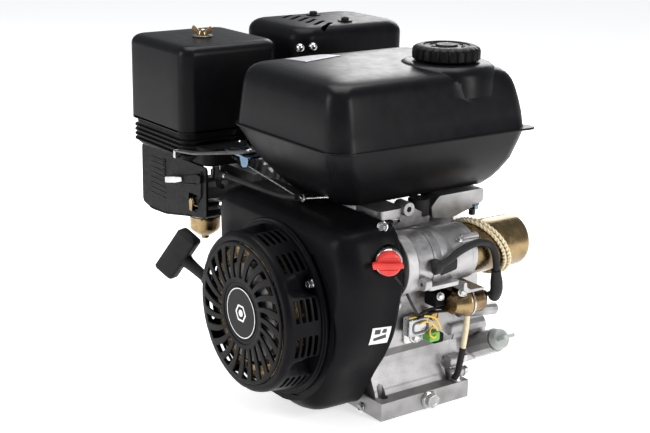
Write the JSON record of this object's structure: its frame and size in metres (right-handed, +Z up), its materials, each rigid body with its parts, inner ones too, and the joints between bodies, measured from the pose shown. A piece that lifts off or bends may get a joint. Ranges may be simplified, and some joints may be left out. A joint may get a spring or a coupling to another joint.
{
  "type": "small gasoline engine",
  "caption": "Horizontal-shaft single-cylinder petrol engine with tank, air cleaner, guarded muffler, recoil and electric starter, and a keyed power shaft.",
  "frame": {"origin": "on the underside of the base, directly below the crank axis and midway along the base", "axes": "+Z up from the base; +Y along the crank axis towards the power shaft; -X towards the cylinder head and air cleaner; +X towards the electric starter and drain plug"},
  "size_m": [0.4949, 0.4212, 0.428],
  "materials": {
    "cast_aluminium": "die-cast, lightly blasted",
    "machined_steel": "turned and ground",
    "dark_steel": "forged, dark",
    "black_paint": "satin black paint",
    "gloss_black": "gloss black paint",
    "black_plastic": "moulded, fine texture",
    "black_rubber": "matt rubber",
    "gold_zinc": "yellow-passivated zinc plating",
    "bright_zinc": "bright zinc plating",
    "blue_zinc": "blue-passivated zinc plating",
    "red_plastic": "moulded, semi-gloss",
    "grey_plastic": "moulded",
    "cream_sleeve": "braided sleeve",
    "filter_paper": "pleated paper",
    "ceramic_white": "glazed insulator"
  },
  "bodies": {
    "engine": {"crankcase": "cast_aluminium", "pto_side_cover": "cast_aluminium", "cylinder_head": "cast_aluminium", "head_cover": "black_paint", "drain_plug": "bright_zinc", "spark_plug": "ceramic_white", "ignition_coil": "black_plastic", "blower_housing": "black_paint", "recoil_case": "black_paint", "fuel_tank": "gloss_black", "tank_bracket_front": "cast_aluminium", "tank_bracket_rear": "cast_aluminium", "air_cleaner_base": "black_plastic", "air_cleaner_element": "filter_paper", "carburettor_body": "cast_aluminium", "float_bowl": "gold_zinc", "carburettor_cover": "black_plastic", "control_plate": "blue_zinc", "fuel_hose": "black_rubber", "exhaust_elbow": "dark_steel", "muffler_body": "dark_steel", "muffler_guard": "black_paint", "starter_housing": "cast_aluminium", "starter_can": "gold_zinc", "solenoid": "gold_zinc", "solenoid_bracket": "gold_zinc", "starter_cable": "black_rubber", "ground_lead": "cream_sleeve", "oil_alert_unit": "bright_zinc", "switch_base": "bright_zinc"},
    "crankshaft": {"crankshaft_recoil_half": "dark_steel", "crankshaft_pto_half": "machined_steel", "shaft_key": "dark_steel", "flywheel": "cast_aluminium", "cooling_fan": "black_plastic", "starter_cup": "gold_zinc", "flywheel_nut": "bright_zinc"},
    "camshaft": {"camshaft": "dark_steel"},
    "balancer": {"balancer_shaft": "dark_steel"},
    "piston_assembly": {"piston": "cast_aluminium", "piston_pin": "machined_steel", "connecting_rod": "cast_aluminium", "crankpin": "machined_steel"},
    "intake_valve": {"intake_valve": "machined_steel"},
    "exhaust_valve": {"exhaust_valve": "machined_steel"},
    "recoil_handle": {"recoil_handle": "black_rubber"},
    "recoil_reel": {"recoil_reel": "black_plastic"},
    "engine_switch": {"switch_knob": "red_plastic"},
    "throttle_lever": {"throttle_lever": "bright_zinc"},
    "choke_lever": {"choke_lever": "bright_zinc"},
    "fuel_valve": {"fuel_valve_lever": "gold_zinc"},
    "governor_arm": {"governor_arm": "bright_zinc"},
    "governor_rod": {"governor_rod": "bright_zinc"},
    "air_cleaner_cover": {"air_cleaner_cover": "gloss_black"},
    "wing_nut": {"wing_nut": "gold_zinc"},
    "fuel_cap_seal": {"fuel_cap_seal": "black_rubber"},
    "fuel_cap": {"fuel_cap": "black_plastic"},
    "dipstick": {"dipstick": "grey_plastic"},
    "starter_armature": {"starter_armature": "dark_steel"},
    "starter_pinion": {"starter_pinion": "machined_steel"}
  },
  "joints": [
    {"name": "crank_turn", "type": "hinge", "parent": "engine", "child": "crankshaft", "pos_m": [0, 0, 0.132], "axis": [0, 1, 0], "continuous": true},
    {"name": "cam_turn", "type": "hinge", "parent": "engine", "child": "camshaft", "pos_m": [-0.0614, 0, 0.0944], "axis": [0, 1, 0], "continuous": true},
    {"name": "balancer_turn", "type": "hinge", "parent": "engine", "child": "balancer", "pos_m": [0.014, 0, 0.0614], "axis": [0, 1, 0], "continuous": true},
    {"name": "piston_stroke", "type": "slide", "parent": "engine", "child": "piston_assembly", "axis": [-0.9063, 0, 0.4226], "range_m": [-0.064, 0]},
    {"name": "intake_valve_lift", "type": "slide", "parent": "engine", "child": "intake_valve", "axis": [0.9063, 0, -0.4226], "range_m": [0, 0.006], "stiffness_N_per_m": 3000, "springref_m": -0.003},
    {"name": "exhaust_valve_lift", "type": "slide", "parent": "engine", "child": "exhaust_valve", "axis": [0.9063, 0, -0.4226], "range_m": [0, 0.006], "stiffness_N_per_m": 3000, "springref_m": -0.003},
    {"name": "recoil_pull", "type": "slide", "parent": "engine", "child": "recoil_handle", "axis": [-0.7403, -0.4002, 0.5402], "range_m": [0, 0.5], "stiffness_N_per_m": 20, "springref_m": -0.2},
    {"name": "reel_turn", "type": "hinge", "parent": "engine", "child": "recoil_reel", "pos_m": [0, -0.186, 0.132], "axis": [0, 1, 0], "range_deg": [0, 640]},
    {"name": "switch_turn", "type": "hinge", "parent": "engine", "child": "engine_switch", "pos_m": [0.1375, -0.097, 0.214], "axis": [0.86, -0.5103, 0], "range_deg": [0, 60]},
    {"name": "throttle_swing", "type": "hinge", "parent": "engine", "child": "throttle_lever", "pos_m": [-0.112, -0.116, 0.289], "axis": [0, 0, 1], "range_deg": [0, 30]},
    {"name": "choke_swing", "type": "hinge", "parent": "engine", "child": "choke_lever", "pos_m": [-0.174, -0.15, 0.245], "axis": [0, 1, 0], "range_deg": [0, 18]},
    {"name": "fuel_valve_turn", "type": "hinge", "parent": "engine", "child": "fuel_valve", "pos_m": [-0.192, -0.15, 0.212], "axis": [0, 1, 0], "range_deg": [0, 90]},
    {"name": "governor_swing", "type": "hinge", "parent": "engine", "child": "governor_arm", "pos_m": [-0.018, -0.07, 0.184], "axis": [0, 1, 0], "range_deg": [-6, 6]},
    {"name": "governor_rod_slide", "type": "slide", "parent": "engine", "child": "governor_rod", "axis": [1, 0, 0], "range_m": [-0.0075, 0.0075]},
    {"name": "cleaner_lift", "type": "slide", "parent": "engine", "child": "air_cleaner_cover", "axis": [0, 0, 1], "range_m": [0, 0.12]},
    {"name": "wing_nut_turn", "type": "hinge", "parent": "air_cleaner_cover", "child": "wing_nut", "pos_m": [-0.25, -0.099, 0.415], "axis": [0, 0, 1], "continuous": true},
    {"name": "cap_lift", "type": "slide", "parent": "engine", "child": "fuel_cap_seal", "axis": [0, 0, 1], "range_m": [0, 0.05]},
    {"name": "cap_turn", "type": "hinge", "parent": "fuel_cap_seal", "child": "fuel_cap", "pos_m": [0.045, 0.055, 0.42], "axis": [0, 0, 1], "range_deg": [0, 90]},
    {"name": "dipstick_pull", "type": "slide", "parent": "engine", "child": "dipstick", "axis": [0.8762, 0, 0.4819], "range_m": [0, 0.07]},
    {"name": "starter_turn", "type": "hinge", "parent": "engine", "child": "starter_armature", "pos_m": [0.107, 0, 0.197], "axis": [0, 1, 0], "continuous": true},
    {"name": "pinion_throw", "type": "slide", "parent": "starter_armature", "child": "starter_pinion", "axis": [0, -1, 0], "range_m": [0, 0.014], "stiffness_N_per_m": 200, "springref_m": -0.01}
  ],
  "couplings": [
    {"joint": "cam_turn", "follows": "crank_turn", "ratio": -0.5},
    {"joint": "balancer_turn", "follows": "crank_turn", "ratio": -1},
    {"joint": "reel_turn", "follows": "recoil_pull", "rad_per_m": 22.2},
    {"joint": "governor_rod_slide", "follows": "governor_swing", "m_per_rad": 0.067}
  ]
}
